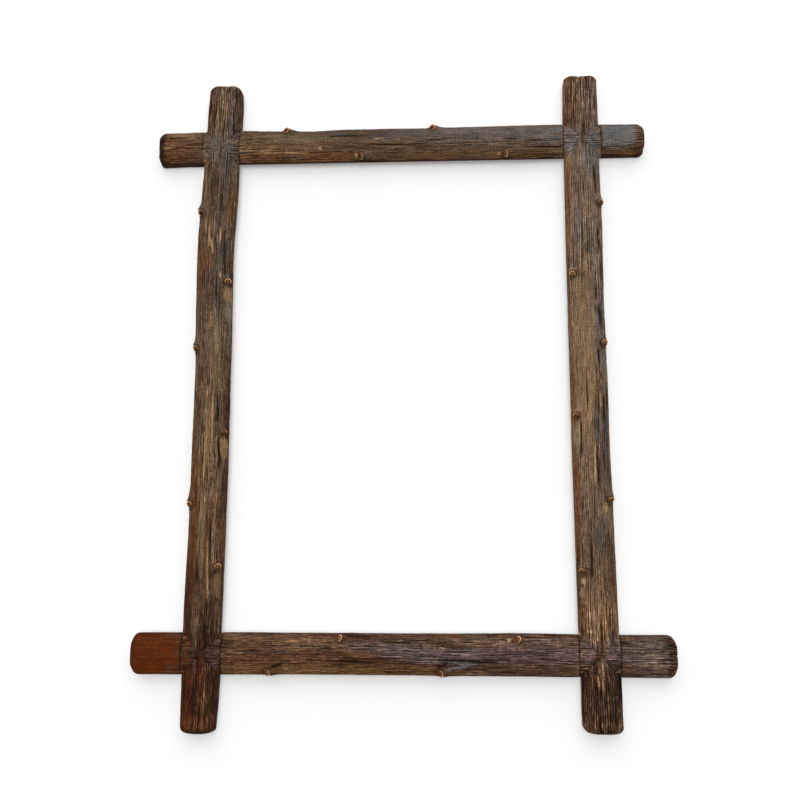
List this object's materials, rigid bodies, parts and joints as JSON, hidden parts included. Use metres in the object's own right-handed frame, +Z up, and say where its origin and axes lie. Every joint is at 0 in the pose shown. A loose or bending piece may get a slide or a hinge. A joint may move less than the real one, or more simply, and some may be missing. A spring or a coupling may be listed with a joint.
{
  "type": "crossed-corner wooden picture frame",
  "caption": "Rustic wooden picture frame with bark-carved bars that cross at lapped corners, twig knots, and ring hangers let into the back.",
  "frame": {"origin": "centre of the top rail's flat back face, where the frame lies against the wall", "axes": "X along the rails, to the right seen from the front; Y from the carved front to the wall; Z up the stiles"},
  "size_m": [0.5235, 0.0211, 0.672],
  "materials": {
    "left_stile_wood": "bark-carved wood, dark brown with tan ridges, satin",
    "right_stile_wood": "bark-carved wood, weathered grey-brown with tan ridges, satin",
    "top_rail_wood": "bark-carved wood, brown turning blue-grey, satin",
    "bottom_rail_wood": "bark-carved wood, purple-brown with a red-brown end, satin",
    "knot_wood": "cut twig end, tan ring round a dark pith, satin",
    "dowel_wood": "plain hardwood dowel, matt",
    "hanger_brass": "brass plate, slightly dulled",
    "screw_brass": "turned brass, satin"
  },
  "bodies": {
    "frame": {"left_stile": "left_stile_wood", "right_stile": "right_stile_wood", "top_rail": "top_rail_wood", "bottom_rail": "bottom_rail_wood", "knot_top_1": "knot_wood", "knot_top_2": "knot_wood", "knot_top_3": "knot_wood", "knot_top_4": "knot_wood", "knot_bottom_1": "knot_wood", "knot_bottom_2": "knot_wood", "knot_bottom_3": "knot_wood", "knot_bottom_4": "knot_wood", "knot_left_1": "knot_wood", "knot_left_2": "knot_wood", "knot_left_3": "knot_wood", "knot_left_4": "knot_wood", "knot_left_5": "knot_wood", "knot_left_6": "knot_wood", "knot_right_1": "knot_wood", "knot_right_2": "knot_wood", "knot_right_3": "knot_wood", "knot_right_4": "knot_wood", "knot_right_5": "knot_wood", "knot_right_6": "knot_wood", "corner_dowels": "dowel_wood", "left_hanger_strap": "hanger_brass", "right_hanger_strap": "hanger_brass", "hanger_screws": "screw_brass"},
    "left_ring": {"left_hanger_ring": "hanger_brass"},
    "right_ring": {"right_hanger_ring": "hanger_brass"}
  },
  "joints": [
    {"name": "left_ring_hinge", "type": "hinge", "parent": "frame", "child": "left_ring", "pos_m": [-0.1915, -0.00265, -0.1], "axis": [1, 0, 0], "range_deg": [0, 180]},
    {"name": "right_ring_hinge", "type": "hinge", "parent": "frame", "child": "right_ring", "pos_m": [0.1915, -0.00265, -0.1], "axis": [1, 0, 0], "range_deg": [0, 180]}
  ]
}
